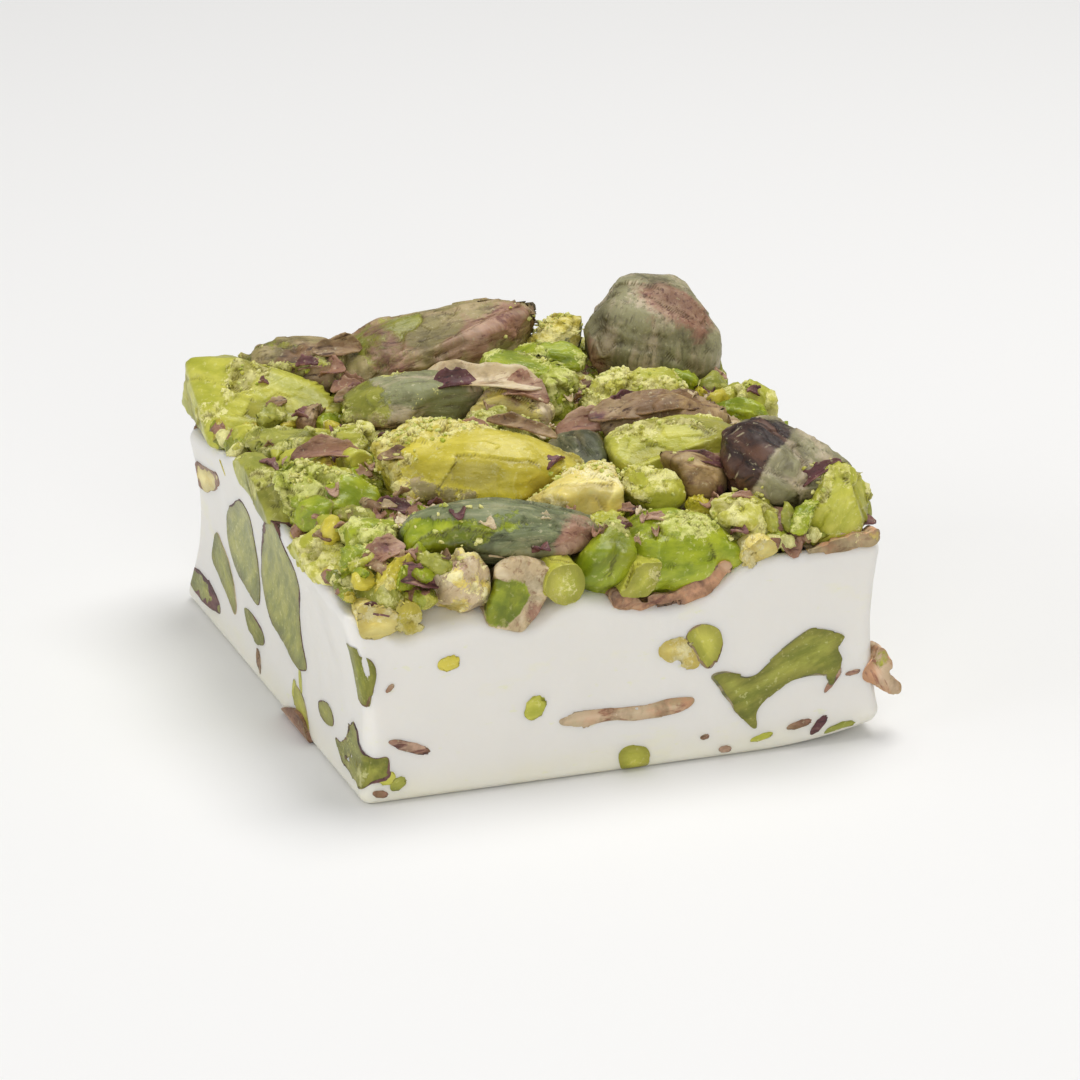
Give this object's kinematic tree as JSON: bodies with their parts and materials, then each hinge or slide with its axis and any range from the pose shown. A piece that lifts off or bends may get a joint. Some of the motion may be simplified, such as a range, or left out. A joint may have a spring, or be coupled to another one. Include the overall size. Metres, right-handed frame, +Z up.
{
  "type": "nougat bar",
  "caption": "Square bite of soft white nougat with knife-cut sides, pistachios set in it and a thick crust of broken green pistachios on top.",
  "frame": {"origin": "middle of the flat underside that the bar rests on", "axes": "+Z up through the nut crust, +X to the right along the front cut, +Y towards the back cut"},
  "size_m": [0.0427, 0.045, 0.0246],
  "materials": {
    "nougat": "soft white chewy nougat, satin, slightly translucent",
    "chip_bed": "fine broken pistachio chips, crumbly and matte",
    "pistachio_skin": "wrinkled grey-green and brown-purple pistachio skin, low sheen",
    "green_flesh": "bright green pistachio flesh, smooth where whole and crumbly where broken",
    "yellow_flesh": "pale yellow-green pistachio flesh, crumbly and matte"
  },
  "bodies": {
    "root": {"nougat": "nougat", "chip_bed": "chip_bed", "standing_kernel": "pistachio_skin", "split_yellow_kernel": "yellow_flesh", "long_back_kernel": "pistachio_skin", "front_dark_kernel": "pistachio_skin", "corner_wedge": "yellow_flesh", "left_edge_sliver": "green_flesh", "blackened_kernel": "pistachio_skin", "pale_green_kernel": "green_flesh", "crumbly_left_chunk": "green_flesh", "front_green_kernel": "green_flesh", "right_corner_chunk": "green_flesh", "round_green_kernel": "green_flesh", "streaked_kernel": "pistachio_skin", "pale_cube": "yellow_flesh", "pale_green_block": "green_flesh", "tan_kernel": "pistachio_skin", "crumbly_back_chunk": "green_flesh", "wrinkled_kernel": "pistachio_skin", "bright_back_chunk": "green_flesh", "bright_back_flake": "green_flesh", "bright_middle_chunk": "green_flesh", "yellow_back_kernel": "yellow_flesh", "dark_middle_kernel": "pistachio_skin", "beige_kernel": "pistachio_skin", "brown_back_kernel": "pistachio_skin", "right_back_chunk": "green_flesh", "small_green_chunk": "green_flesh", "left_crumbly_chunk": "green_flesh", "left_small_chunk": "yellow_flesh", "left_front_chunk": "yellow_flesh", "green_front_chunk": "green_flesh", "green_front_cube": "green_flesh", "beige_front_tip": "pistachio_skin", "cut_front_kernel": "green_flesh", "pale_right_chunk": "green_flesh", "left_rimmed_chip": "pistachio_skin", "left_green_oval": "green_flesh", "left_long_streak": "green_flesh", "left_low_kernel": "pistachio_skin", "left_big_kernel": "green_flesh", "left_small_kernel": "green_flesh", "left_bottom_chip": "pistachio_skin", "left_bottom_streak": "yellow_flesh", "left_corner_chip": "green_flesh", "front_corner_kernel": "green_flesh", "front_foot_kernel": "green_flesh", "front_bow_kernel": "green_flesh", "front_yellow_pair": "yellow_flesh", "front_green_flake": "green_flesh", "front_low_chip": "green_flesh", "front_skin_streak": "pistachio_skin", "right_corner_skin": "pistachio_skin", "right_tall_kernel": "green_flesh", "right_low_kernel": "green_flesh", "right_dark_kernel": "pistachio_skin", "back_green_oval": "green_flesh", "back_long_streak": "green_flesh", "back_dark_kernel": "pistachio_skin"}
  },
  "joints": []
}
